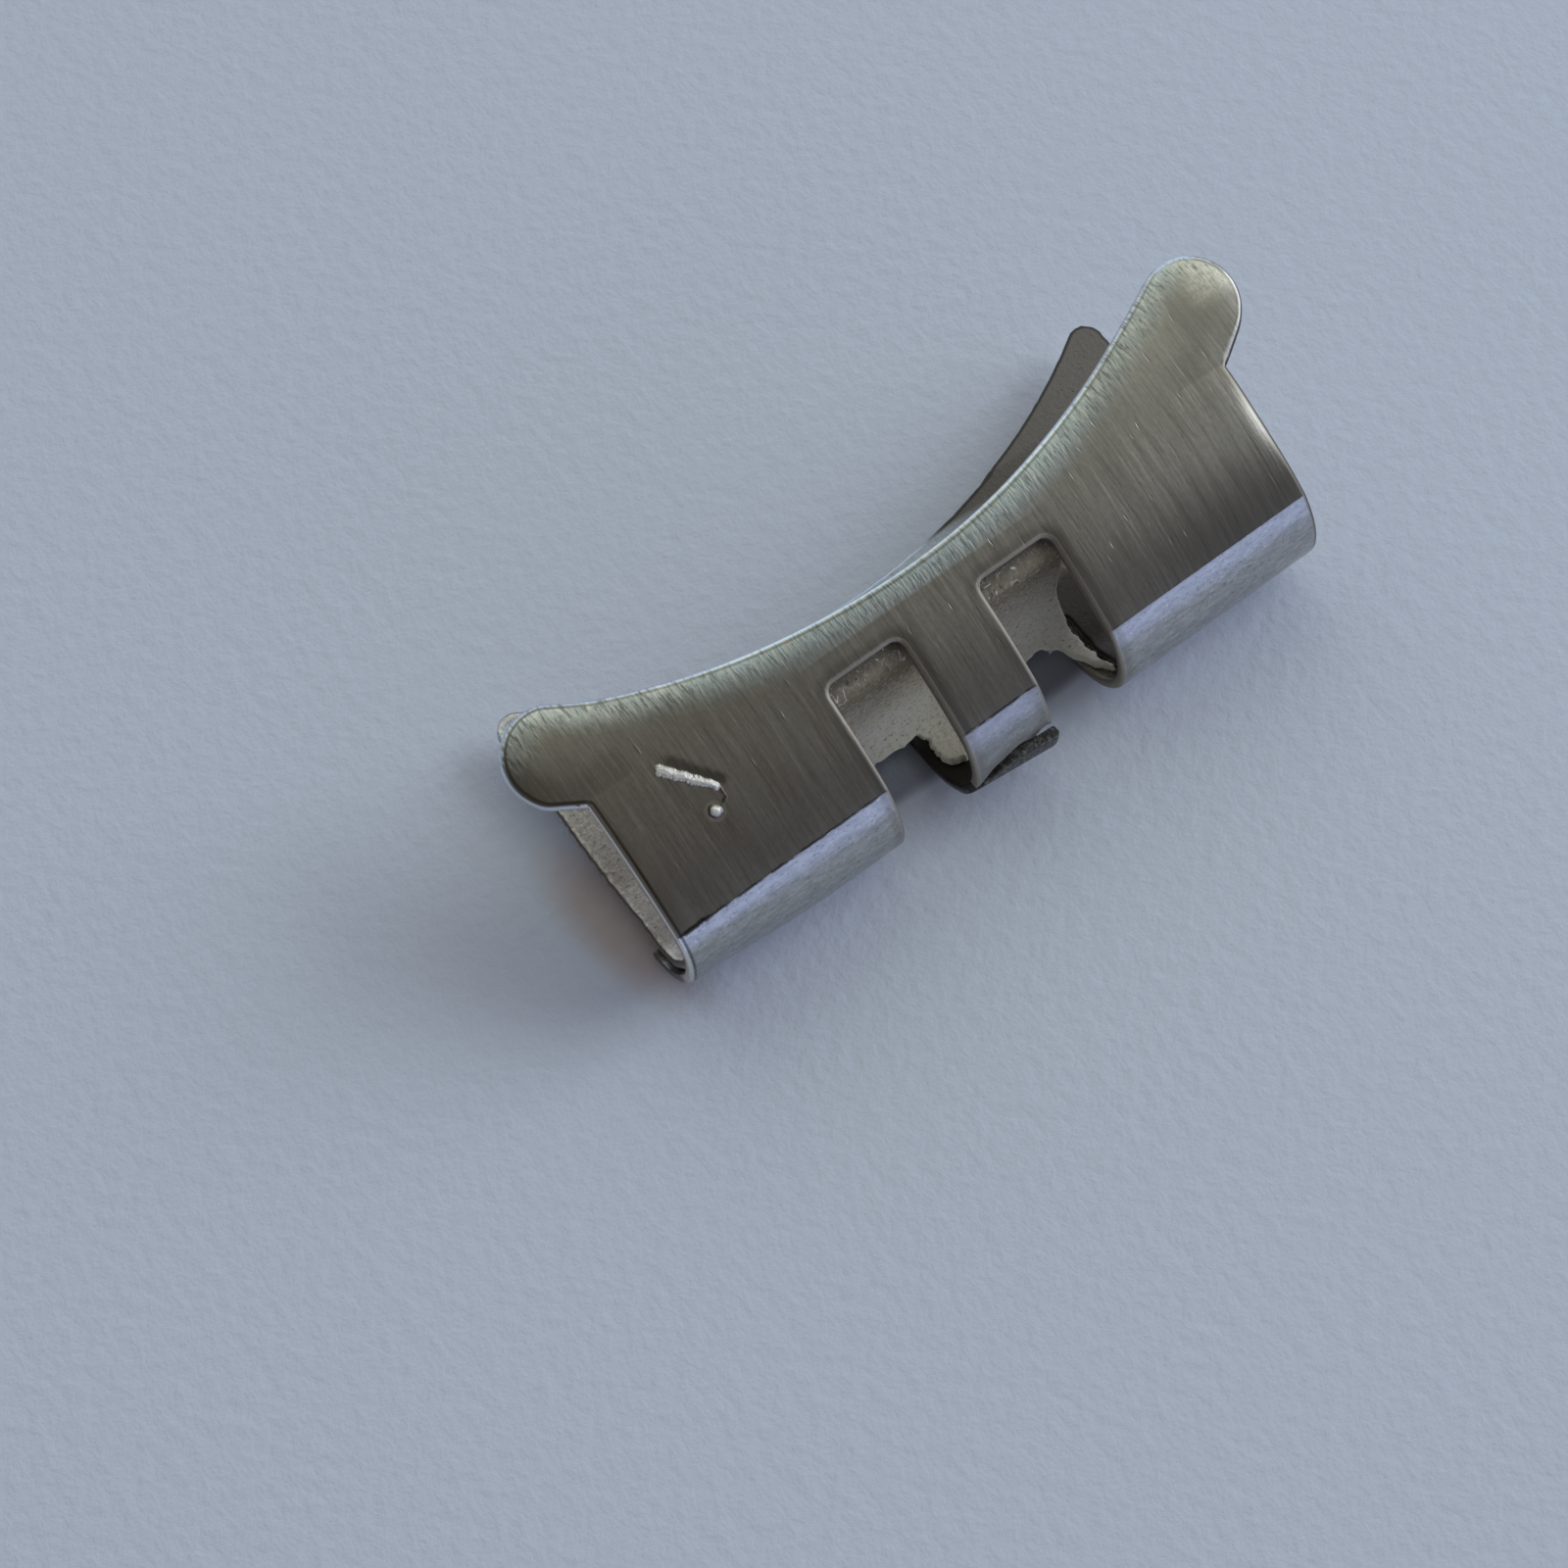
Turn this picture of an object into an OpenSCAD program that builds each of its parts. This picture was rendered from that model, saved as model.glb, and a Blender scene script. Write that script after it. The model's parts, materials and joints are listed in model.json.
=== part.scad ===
// Watch bracelet end link, folded from three thin steel sheets.
// X runs along the spring bar, Y points to the watch case and Z up to the polished side.
// The origin lies on the spring bar's axis, halfway between the lugs.

/* [Fit between the lugs] */
// Distance between the inner faces of the lugs
lug_width = 18; // [16:0.5:22]
// Air left between each lug and the link
lug_clearance = 0.05; // [0.02:0.01:0.2]
// Curvature radius of the front edge, which follows the case
case_radius = 19; // [17:0.5:23]
// Distance from the bar's axis to the middle of the front edge
case_edge_y = 2.58; // [2.4:0.02:3]

/* [Cover sheet] */
// Thickness of the brushed cover sheet
cover_t = 0.25; // [0.2:0.01:0.3]
// Curvature radius of the cover's top, outside
crown_radius = 12; // [11:0.5:14]
// Slope at which the top runs into the rear roll, in degrees
crown_slope = 34; // [30:1:38]
// Outer radius of the rear roll around the spring bar
roll_radius = 1.65; // [1.55:0.01:1.8]
// How far each ear reaches past the side of the body
ear_overhang = 1.4; // [1.2:0.05:1.6]
// Radius of the round ears
ear_radius = 1.28; // [1.15:0.01:1.35]

/* [Knuckle slots] */
// Width of each slot for a bracelet knuckle
slot_width = 2.07; // [1.9:0.01:2.4]
// Distance from the bar's axis to the front end of the slots
slot_front_y = 1.44; // [1.4:0.02:1.6]
// Corner radius at the front end of the slots
slot_corner_r = 0.3; // [0.1:0.05:0.5]
// Width of the tab that is left between the slots
tab_width = 2.2; // [2:0.05:2.6]
// Angle at which the tab is cut off, from the front, in degrees
tab_end_angle = 196; // [188:1:204]

/* [Holding flaps under the link] */
// Length of the flaps folded under the base plate
flap_length = 2.1; // [1.9:0.05:2.4]
// Step from the side of the body to the flap
flap_side_step = 0.75; // [0.5:0.05:1]
// Step from the slot to the flap
flap_slot_step = 0.15; // [0.1:0.05:0.3]
// Corner radius of the flaps
flap_corner_r = 0.4; // [0.2:0.05:0.5]
// Distance between the two weld marks on a flap
weld_spacing = 2.4; // [2:0.1:3]
// Distance from the bar's axis to the weld marks
weld_y = 1.1; // [0.9:0.05:1.3]
// Radius of a weld mark
weld_r = 0.35; // [0.25:0.05:0.4]
// Depth of a weld mark
weld_depth = 0.05; // [0.03:0.01:0.08]

/* [Base plate] */
// Thickness of the base plate
base_t = 0.25; // [0.2:0.01:0.28]
// Air between one sheet and the sheet nested in it
nest_gap = 0.02; // [0.01:0.005:0.03]
// Step from the side of the cover to the side of the base plate
base_side_step = 0.05; // [0:0.01:0.15]
// Distance from the bar's axis to the front end of the upper leg
upper_leg_y = 1.5; // [1.3:0.05:1.8]
// Air between the cradle and the rolled sides of the base plate
cradle_side_gap = 0.15; // [0.1:0.05:0.3]
// Distance from the bar's axis to the rear edge of the floor beside the finger
window_y = 0.9; // [0.85:0.05:1.1]
// Corner radius of the windows beside the finger
window_corner_r = 0.25; // [0.1:0.05:0.35]
// Distance from the bar's axis to the ramp up to the wings
ramp_y = 2.15; // [2:0.05:2.4]
// Slope of the ramp, in degrees
ramp_angle = 30; // [26:1:36]
// Bend radius of the ramp, on the sheet's middle
ramp_bend_r = 0.5; // [0.3:0.05:0.6]
// How far the ramp lifts the wings
wing_rise = 0.51; // [0.45:0.01:0.6]
// Curvature radius of the wings' front edge
wing_radius = 15.65; // [15:0.05:17]
// Distance from the bar's axis to the middle of the wings' front edge
wing_edge_y = 4.04; // [3.9:0.02:4.3]
// Radius of the wing tips
wing_tip_r = 0.45; // [0.3:0.05:0.6]
// Width of the finger that backs the tab
finger_width = 2.2; // [2:0.05:2.4]
// Gap between the tab's cut end and the finger's end
finger_gap = 0.06; // [0.04:0.01:0.12]
// Distance from the bar's axis to the rear end of the finger's step
finger_step_y = 0.95; // [0.9:0.05:1]
// Bend radius of the finger's step, on the sheet's middle
finger_bend_r = 0.3; // [0.25:0.05:0.35]

/* [Spring bar cradle] */
// Width of the cradle along the bar
cradle_width = 7; // [6.8:0.05:7.4]
// Thickness of the cradle sheet
cradle_t = 0.25; // [0.2:0.01:0.28]
// Bend radius below the top skin, on the sheet's middle
cradle_bend_r = 0.4; // [0.3:0.05:0.5]
// Distance from the bar's axis to the front end of the welded flange
flange_y = 2.25; // [2.1:0.05:2.3]
// Width of the cradle's middle finger
middle_finger_w = 2.4; // [2.2:0.05:2.5]
// Width of the cradle's outer tongues
tongue_w = 0.65; // [0.5:0.05:0.8]
// Distance from the bar's axis to the front end of the notches
notch_y = 0.35; // [0.3:0.05:0.5]
// Corner radius of the notches
notch_corner_r = 0.25; // [0.1:0.05:0.35]
// Angle at which the fingers end, from the front, in degrees
cradle_end_angle = 215; // [208:1:225]

/* [Hidden] */
$fn = 180;
cut_over = 1;
tangent_lap = 0.001;
bend_steps = 6;
step_overlap = 0.3;
body_half_w = lug_width / 2 - lug_clearance;
crown_y = (crown_radius - roll_radius) * sin(crown_slope);
crown_z = -(crown_radius - roll_radius) * cos(crown_slope);
tangent_angle = 90 + crown_slope;
crown_front_angle = 60;
rear_y = -roll_radius - cut_over;
reach_z = roll_radius + crown_radius;
slot_inner_x = tab_width / 2;
slot_outer_x = slot_inner_x + slot_width;
flap_inner_x = slot_outer_x + flap_slot_step;
flap_outer_x = body_half_w - flap_side_step;
weld_ball_r = (weld_r * weld_r + weld_depth * weld_depth) / (2 * weld_depth);
nested_depth = cover_t + nest_gap;
nested_r = roll_radius - nested_depth;
seat_r = nested_r - base_t;
base_half_w = body_half_w - base_side_step;
floor_z = -nested_r + base_t / 2;
ramp_straight = (wing_rise - 2 * ramp_bend_r * (1 - cos(ramp_angle))) / sin(ramp_angle);
wing_run = 2 * case_radius;
base_inner_x = cradle_width / 2 + cradle_side_gap;
upper_leg_angle = acos((upper_leg_y - crown_y) / (crown_radius - nested_depth));
finger_z = -roll_radius + base_t / 2;
finger_step_angle = acos(1 - nested_depth / (2 * finger_bend_r));
finger_end_angle = tab_end_angle + finger_gap / roll_radius * 180 / PI;
finger_step_end_y = finger_step_y + 2 * finger_bend_r * sin(finger_step_angle);
cradle_half_w = cradle_width / 2;
wall_y = nested_r - cradle_t / 2;
crown_middle_r = crown_radius - nested_depth - cradle_t / 2;
bend_y = wall_y + cradle_bend_r;
bend_span = crown_middle_r - cradle_bend_r;
bend_z = crown_z + sqrt(bend_span * bend_span - (bend_y - crown_y) * (bend_y - crown_y));
bend_end_angle = acos((bend_y - crown_y) / bend_span);
flange_angle = acos((flange_y - crown_y) / crown_middle_r);

// Ring between two radii, kept from angle a0 to angle a1
module ring_part(r_in, r_out, a0, a1) {
    steps = ceil((a1 - a0) / 45);
    reach = 2 * r_out;
    rim = [for (i = [0:steps]) let (a = a0 + (a1 - a0) * i / steps) reach * [cos(a), sin(a)]];
    intersection() {
        difference() {
            circle(r_out);
            circle(r_in);
        }
        polygon(concat([[0, 0]], rim));
    }
}

// Ring around [y, z] that runs on into the crown, at a depth below the top skin
module curl_to_crown(y, z, r, depth, t, front_angle, end_angle) {
    difference() {
        union() {
            translate([y, z]) circle(r);
            crown_band(depth, r, front_angle, end_angle);
        }
        translate([y, z]) circle(r - t);
        crown_band(depth + t, 1.4 * r, front_angle - 5, end_angle);
    }
}

// Roll around the spring bar with the crown that runs forward from it
module folded_sheet(depth, t, front_angle) {
    difference() {
        curl_to_crown(0, 0, roll_radius - depth, depth, t, front_angle, tangent_angle);
        translate([0, -crown_radius]) square(crown_radius);
    }
}

// Band along the crown, at a depth below the top skin
module crown_band(depth, t, a0, a1) {
    r = crown_radius - depth - tangent_lap;
    translate([crown_y, crown_z]) ring_part(r - t, r, a0, a1);
}

// Sheet that steps up from one level to the next through two equal bends
module sheet_step(y, z, t, r, angle, straight, before, after) {
    run = 2 * r * sin(angle) + straight * cos(angle);
    lift = 2 * r * (1 - cos(angle)) + straight * sin(angle);
    turns = [for (i = [0:bend_steps]) angle * i / bend_steps];
    lower = concat(
        [[-before, -t / 2]],
        [for (a = turns) [(r + t / 2) * sin(a), r - (r + t / 2) * cos(a)]],
        [for (a = turns) [run - (r - t / 2) * sin(angle - a), lift - r + (r - t / 2) * cos(angle - a)]],
        [[run + after, lift - t / 2]]);
    upper = concat(
        [[-before, t / 2]],
        [for (a = turns) [(r - t / 2) * sin(a), r - (r - t / 2) * cos(a)]],
        [for (a = turns) [run - (r + t / 2) * sin(angle - a), lift - r + (r + t / 2) * cos(angle - a)]],
        [[run + after, lift + t / 2]]);
    last = len(upper) - 1;
    translate([y, z]) polygon(concat(lower, [for (i = [0:last]) upper[last - i]]));
}

// Section in the YZ plane, drawn out along X between two places
module along_x(x0, x1) {
    translate([x0, 0, 0]) rotate([90, 0, 90]) linear_extrude(height = x1 - x0) children();
}

// Outline in the XY plane, drawn out far enough to cut through every sheet
module through_z() {
    translate([0, 0, -reach_z]) linear_extrude(height = 2 * reach_z) children();
}

// Rectangle whose two front corners are round
module round_front(x0, x1, y0, y1, r) {
    translate([x0, y0]) square([x1 - x0, y1 - r - y0]);
    translate([x0 + r, y0]) square([x1 - x0 - 2 * r, y1 - y0]);
    for (x = [x0 + r, x1 - r]) translate([x, y1 - r]) circle(r);
}

// Plan of a sheet whose front edge follows the case and ends in two round tips
module case_plan(half_w, radius, edge_y, tip_x, tip_r) {
    centre_y = edge_y + radius;
    span = radius + tip_r - tangent_lap;
    tip_y = centre_y - sqrt(span * span - tip_x * tip_x);
    inside_x = tip_x * (radius - tip_r) / span;
    inside_y = centre_y - (centre_y - tip_y) * (radius - tip_r) / span;
    side = [[half_w, rear_y], [half_w, tip_y], [tip_x, tip_y], [inside_x, inside_y]];
    other = [for (i = [3:-1:0]) [-side[i][0], side[i][1]]];
    difference() {
        union() {
            polygon(concat(side, other));
            for (x = [-tip_x, tip_x]) translate([x, tip_y]) circle(tip_r);
        }
        translate([0, centre_y]) circle(radius);
    }
}

// Top sheet with its ears, the roll at the rear, the middle tab and two flaps below
module cover() {
    color([0.56, 0.54, 0.5]) difference() {
        union() {
            intersection() {
                along_x(-lug_width, lug_width) folded_sheet(0, cover_t, crown_front_angle);
                through_z() case_plan(body_half_w, case_radius, case_edge_y,
                    body_half_w + ear_overhang - ear_radius, ear_radius);
            }
            for (side = [0, 1]) mirror([side, 0, 0]) translate([0, 0, -roll_radius])
                linear_extrude(height = cover_t)
                round_front(flap_inner_x, flap_outer_x, 0, flap_length, flap_corner_r);
        }
        for (side = [0, 1]) mirror([side, 0, 0]) {
            through_z() round_front(slot_inner_x, slot_outer_x, rear_y, slot_front_y, slot_corner_r);
            for (i = [-1, 1]) translate([(flap_inner_x + flap_outer_x + i * weld_spacing) / 2, weld_y,
                -roll_radius + weld_depth - weld_ball_r]) sphere(weld_ball_r, $fn = 48);
        }
        along_x(-slot_inner_x, slot_inner_x) ring_part(0, roll_radius + cut_over, tab_end_angle, 330);
    }
}

// Inner sheet: rolled sides, floor, wings below the case and a finger behind the tab
module base_plate() {
    color([0.5, 0.47, 0.42]) {
        difference() {
            intersection() {
                along_x(-lug_width, lug_width) {
                    folded_sheet(nested_depth, base_t, upper_leg_angle);
                    translate([0, -nested_r]) square([ramp_y, base_t]);
                    sheet_step(ramp_y, floor_z, base_t, ramp_bend_r, ramp_angle, ramp_straight,
                        step_overlap, wing_run);
                }
                through_z() case_plan(base_half_w, wing_radius, wing_edge_y,
                    base_half_w - wing_tip_r, wing_tip_r);
            }
            translate([0, 0, -nested_r + base_t]) linear_extrude(height = 2 * reach_z)
                translate([-base_inner_x, rear_y]) square([2 * base_inner_x, ramp_y - rear_y]);
            through_z() round_front(-base_inner_x, base_inner_x, rear_y, window_y, window_corner_r);
            along_x(-finger_width / 2, finger_width / 2)
                translate([rear_y, -nested_r - cut_over]) square([finger_step_end_y - rear_y, 2 * cut_over]);
        }
        along_x(-finger_width / 2, finger_width / 2) {
            ring_part(roll_radius - base_t, roll_radius, finger_end_angle, 270);
            translate([0, -roll_radius]) square([finger_step_y, base_t]);
            sheet_step(finger_step_y, finger_z, base_t, finger_bend_r, finger_step_angle, 0,
                step_overlap, step_overlap);
        }
    }
}

// Trough that the spring bar lies in, welded below the top skin and notched at the rear
module cradle() {
    color([0.62, 0.6, 0.55]) difference() {
        along_x(-cradle_half_w, cradle_half_w) {
            ring_part(nested_r - cradle_t, nested_r, cradle_end_angle, 360);
            translate([nested_r - cradle_t, 0]) square([cradle_t, bend_z]);
            difference() {
                curl_to_crown(bend_y, bend_z, cradle_bend_r + cradle_t / 2, nested_depth, cradle_t,
                    flange_angle, bend_end_angle);
                translate([0, bend_z - crown_radius]) square(crown_radius);
            }
        }
        for (side = [0, 1]) mirror([side, 0, 0]) translate([0, 0, -reach_z])
            linear_extrude(height = reach_z) round_front(middle_finger_w / 2,
                cradle_half_w - tongue_w, rear_y, notch_y, notch_corner_r);
    }
}

cover();
base_plate();
cradle();
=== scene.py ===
"""Watch bracelet end link: three folded steel sheets, their finishes, the light and the camera."""

import json
import math

import bpy
import numpy as np
from mathutils import Matrix, Vector


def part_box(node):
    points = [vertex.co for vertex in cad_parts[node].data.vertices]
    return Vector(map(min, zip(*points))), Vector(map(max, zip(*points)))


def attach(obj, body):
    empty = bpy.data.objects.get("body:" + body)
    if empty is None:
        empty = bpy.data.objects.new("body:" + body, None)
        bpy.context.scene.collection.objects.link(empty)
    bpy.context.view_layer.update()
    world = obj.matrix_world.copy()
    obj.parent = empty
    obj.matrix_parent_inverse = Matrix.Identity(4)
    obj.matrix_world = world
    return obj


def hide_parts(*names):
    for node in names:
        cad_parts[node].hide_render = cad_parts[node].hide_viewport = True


bl_info = {
    "name": "Watch Bracelet End Link",
    "version": (1, 0, 0),
    "blender": (4, 5, 0),
    "location": "View3D > Sidebar > End Link",
    "description": "Builds a folded sheet-steel end link with its finishes, light and camera",
    "category": "Add Mesh",
}

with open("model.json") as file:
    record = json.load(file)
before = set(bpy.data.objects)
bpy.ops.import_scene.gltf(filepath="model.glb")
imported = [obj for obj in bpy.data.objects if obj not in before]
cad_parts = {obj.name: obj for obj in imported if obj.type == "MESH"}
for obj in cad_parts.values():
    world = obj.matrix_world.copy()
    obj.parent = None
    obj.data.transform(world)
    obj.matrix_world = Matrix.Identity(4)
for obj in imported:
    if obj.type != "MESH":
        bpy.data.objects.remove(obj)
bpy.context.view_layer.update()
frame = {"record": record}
MM = 0.001
COVER_LOW, COVER_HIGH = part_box("cover")
_, BASE_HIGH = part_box("base_plate")
_, CRADLE_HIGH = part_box("cradle")
SEAT = next(m for m in frame["record"]["mounts"] if m["name"] == "bar_seat")

SAME_PLACE = 1e-5 * MM  # points of two grids that are closer than this become one
TINY = 1e-12
POINTS_AT_ONCE = 2000
SWAY_LONG, SWAY_SHORT, SWAY_REACH = 0.35 * MM, 0.12 * MM, 0.12 * MM  # waves of an uneven edge
SHARP_ANGLE = math.radians(55)
COVER_RIM = (0.06 * MM, 0.02 * MM)  # edge radii of the outer and inner face
PLATE_RIM = (0.05 * MM, 0.05 * MM)
FINGER_CORNER = 0.45 * MM
FLOOR_REACH = 0.9
FLOOR_GAP = 0.002 * MM


def length(name, description, size):
    """A length with its name, what it is and its size in mm."""
    return bpy.props.FloatProperty(
        name=name, description=description, default=size * MM, min=0.0, unit="LENGTH", precision=5
    )


def angle(name, description, degrees):
    """An angle with its name and what it is."""
    return bpy.props.FloatProperty(
        name=name, description=description, default=math.radians(degrees), subtype="ANGLE"
    )


def colour(name, description, default):
    """A linear colour with its name and what it is."""
    return bpy.props.FloatVectorProperty(
        name=name, description=description, default=default, size=3, min=0.0, max=1.0, subtype="COLOR"
    )


class EndLinkSizes(bpy.types.PropertyGroup):
    """Sizes of the three sheets."""

    roll_radius: length("Roll radius", "Outer radius of the rear roll", -COVER_LOW.z / MM)
    seat_radius: length("Seat radius", "Inner radius around the spring bar", SEAT["dims"]["r_mm"])
    sheet_t: length("Sheet", "Thickness of each sheet", 0.25)
    nest_gap: length("Nesting gap", "Air between nested sheets", 0.02)
    crown_radius: length("Crown radius", "Curvature radius of the top, outside", 12)
    crown_slope: angle("Crown slope", "Slope at which the top runs into the roll", 34)
    body_half: length("Body half width", "From the middle to the body's side", 9.05)
    case_radius: length("Case radius", "Curvature radius of the front edge", 18.4)
    case_edge: length("Front edge", "From the bar's axis to the front edge", 2.58)
    ear_reach: length("Ear reach", "From the middle to the end of an ear", COVER_HIGH.x / MM)
    ear_radius: length("Ear radius", "Radius of the round ears", 1.2)
    ear_lean: angle("Ear lean", "Slope of the straight line from an ear to the body", 30)
    ear_shift: length("Ear shift", "How far both ears sit to the right of true", 0.177)
    ear_turn: angle("Ear turn", "Turn of the front edge and the ears seen from above", 0.9)
    tab_width: length("Tab width", "Width of the tab between the slots", 2.2)
    slot_width: length("Slot width", "Width of each knuckle slot", 2.07)
    slot_front: length("Slot front", "From the bar's axis to the slots' front end", 1.44)
    slot_corner: length("Slot corner", "Corner radius of the slots", 0.23)
    tab_end: angle("Tab end", "Angle at which the tab is torn off on the right", 168)
    flap_length: length("Flap length", "Length of the flaps under the base plate", 2.1)
    flap_inner: length("Flap inner side", "From the middle to the flap", 3.32)
    flap_outer: length("Flap outer side", "From the middle to the flap's far side", 8.2)
    flap_corner: length("Flap corner", "Corner radius of the flaps", 0.4)
    weld_spacing: length("Weld spacing", "Distance between the two weld marks on a flap", 2.4)
    weld_place: length("Weld place", "From the bar's axis to the weld marks", 1.1)
    weld_radius: length("Weld radius", "Radius of a weld mark", 0.35)
    weld_depth: length("Weld depth", "Depth of a weld mark", 0.05)
    base_half: length("Base half width", "From the middle to the base plate's side", BASE_HIGH.x / MM)
    upper_leg: length("Upper leg", "From the bar's axis to the upper leg's front end", 1.5)
    window_side: length("Window side", "From the middle to the side of the windows", 3.65)
    window_front: length("Window front", "From the bar's axis to the windows' front end", 0.9)
    window_corner: length("Window corner", "Corner radius of the windows", 0.25)
    ramp_start: length("Ramp start", "From the bar's axis to the ramp", 1.5)
    ramp_slope: angle("Ramp slope", "Slope of the ramp up to the wings", 9.5)
    ramp_bend: length("Ramp bend", "Bend radius of the ramp", 0.5)
    wing_rise: length("Wing rise", "Height of the ramp", 0.51)
    wing_radius: length("Wing radius", "Curvature radius of the wings' front edge", 15.65)
    wing_edge: length("Wing edge", "From the bar's axis to the wings' front edge", 4.04)
    wing_tip: length("Wing tip", "Radius of the wing tips", 0.45)
    finger_start: length("Finger step", "From the bar's axis to the finger's step", 0.95)
    finger_bend: length("Finger bend", "Bend radius of the finger's step", 0.3)
    finger_end: angle("Finger end", "Angle between the tab's end and the finger's", 3.5)
    finger_left: length("Finger's left side", "From the middle to the finger's left side", 1.2)
    cradle_half: length("Cradle half width", "From the middle to the cradle's side", CRADLE_HIGH.x / MM)
    cradle_bend: length("Cradle bend", "Bend radius below the top", 0.28)
    flange_front: length("Flange front", "From the bar's axis to the flange's front end", 2.25)
    middle_finger: length("Middle finger", "Width of the cradle's middle finger", 1.9)
    tongue: length("Tongue", "Width of the cradle's outer tongues", 0.76)
    notch_front: length("Notch front", "From the bar's axis to the notches' front end", 0.55)
    notch_corner: length("Notch corner", "Corner radius of the notches", 0.14)
    cradle_end: angle("Cradle end", "Angle at which the cradle's fingers end", 215)


class EndLinkFinishes(bpy.types.PropertyGroup):
    """Colours of the sheets and of the paper that the link lies on."""

    brushed: colour("Brushed steel", "Colour of the cover", (0.565, 0.52, 0.445))
    roll: colour("Roll", "Colour of the cover's rear roll", (0.47, 0.465, 0.45))
    mill: colour("Mill finish", "Colour of the base plate", (0.52, 0.465, 0.39))
    stained: colour("Stained steel", "Colour of the cradle", (0.8, 0.69, 0.51))
    # Dark colour of real dirt, specks and pits, also used as painted shade deep inside, beside edges and by the
    # gouge
    grime_and_shade: colour("Grime", "Colour of the dirt in the folds", (0.05, 0.042, 0.035))
    # The warm tint is painted bounce light from the steel on the floor
    bounce: colour("Warm tint", "Colour of the floor beside the open end", (0.62, 0.4, 0.27))
    paper: colour("Paper", "Colour of the floor", (0.86, 0.9, 1.0))


class Path:
    """Section line of a sheet's outer face in the YZ plane, walked by its arc length."""

    def __init__(self):
        self.stretches = []
        self.length = 0.0

    def line(self, start, end, normal):
        """Straight stretch: the place goes evenly from start to end."""
        start, end = np.array(start), np.array(end)
        size = float(np.hypot(*(end - start)))
        self.stretches.append((self.length, "line", start, (end - start) / size, np.array(normal)))
        self.length += size

    def arc(self, centre, radius, a0, a1, side=1):
        """Round stretch: the angle goes evenly from a0 to a1.

        The normal points away from the centre for side 1 and towards it for side -1.
        """
        turn = math.copysign(1.0, a1 - a0)
        self.stretches.append((self.length, "arc", np.array(centre), (radius, a0, turn), side))
        self.length += radius * abs(a1 - a0)

    def at(self, s):
        """Place and normal (y, z, ny, nz) at the arc lengths s, each on the last stretch begun before it.

        A line gives start + s * way, and an arc centre + radius * (cos a, sin a) with a = a0 + s / radius.
        """
        out = np.zeros(s.shape + (4,))
        for i, (begin, kind, origin, run, side) in enumerate(self.stretches):
            here = (s >= begin) if i else np.ones(s.shape, bool)
            along = (s - begin)[here]
            if kind == "line":
                out[here] = np.column_stack([origin + along[:, None] * run, np.tile(side, (along.size, 1))])
            else:
                radius, a0, turn = run
                a = a0 + turn * along / radius
                ray = np.column_stack([np.cos(a), np.sin(a)])
                out[here] = np.column_stack([origin + radius * ray, side * ray])
        return out


def spread(count, low=True, high=True):
    """Numbers from 0 to 1 that crowd at the ends asked for.

    They are (1 - cos(pi t)) / 2 for both, 1 - cos(pi t / 2) for the low and sin(pi t / 2) for the high.
    """
    t = np.linspace(0.0, 1.0, count)
    if low and high:
        return (1 - np.cos(math.pi * t)) / 2
    return 1 - np.cos(math.pi * t / 2) if low else np.sin(math.pi * t / 2)


def smooth(t):
    """Smooth step t^2 (3 - 2 t), with t kept between 0 and 1."""
    t = np.clip(t, 0, 1)
    return t * t * (3 - 2 * t)


def columns(low, high, count, *ends):
    """Places from low to high that crowd at the ends asked for."""
    return low + (high - low) * spread(count, *ends)


def patch(path, x, s0, s1, rows, bent=None):
    """Grid over u and v on a path: places, normals, and marks of x and arc length.

    x follows u, the arc length is s0 + (s1 - s0) * row with v, and the path gives place and normal. A bend
    changes x and the arc length first.
    """
    x = np.asarray(x, float)
    s0 = np.broadcast_to(s0, x.shape)[:, None]
    s1 = np.broadcast_to(s1, x.shape)[:, None]
    s = s0 + (s1 - s0) * rows[None, :]
    across = np.broadcast_to(x[:, None], s.shape)
    if bent is not None:
        across, s = bent(across, s)
    flat = path.at(s)
    place = np.dstack([across, flat[..., 0], flat[..., 1]])
    normal = np.dstack([np.zeros_like(s), flat[..., 2], flat[..., 3]])
    return place, normal, np.dstack([across, s])


def strips(path, x, stops, rows, bent=None):
    """Patches one behind the other along the path, each between two stops and with its own rows."""
    return [patch(path, x, s0, s1, row, bent) for s0, s1, row in zip(stops, stops[1:], rows)]


def waves(p, size, seed):
    """Smooth wandering value near -1 to 1 at points p.

    It is 2.2 times the mean of nine sine waves of random direction, length and phase.
    """
    count = 9
    rng = np.random.default_rng(seed)
    direction = rng.normal(size=(count, 3))
    direction /= np.linalg.norm(direction, axis=1)[:, None]
    pitch = size * rng.uniform(0.6, 1.8, count)
    phase = rng.uniform(0, 2 * math.pi, count)
    return np.sin(p @ direction.T * (2 * math.pi / pitch) + phase).mean(axis=1) * 2.2


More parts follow.
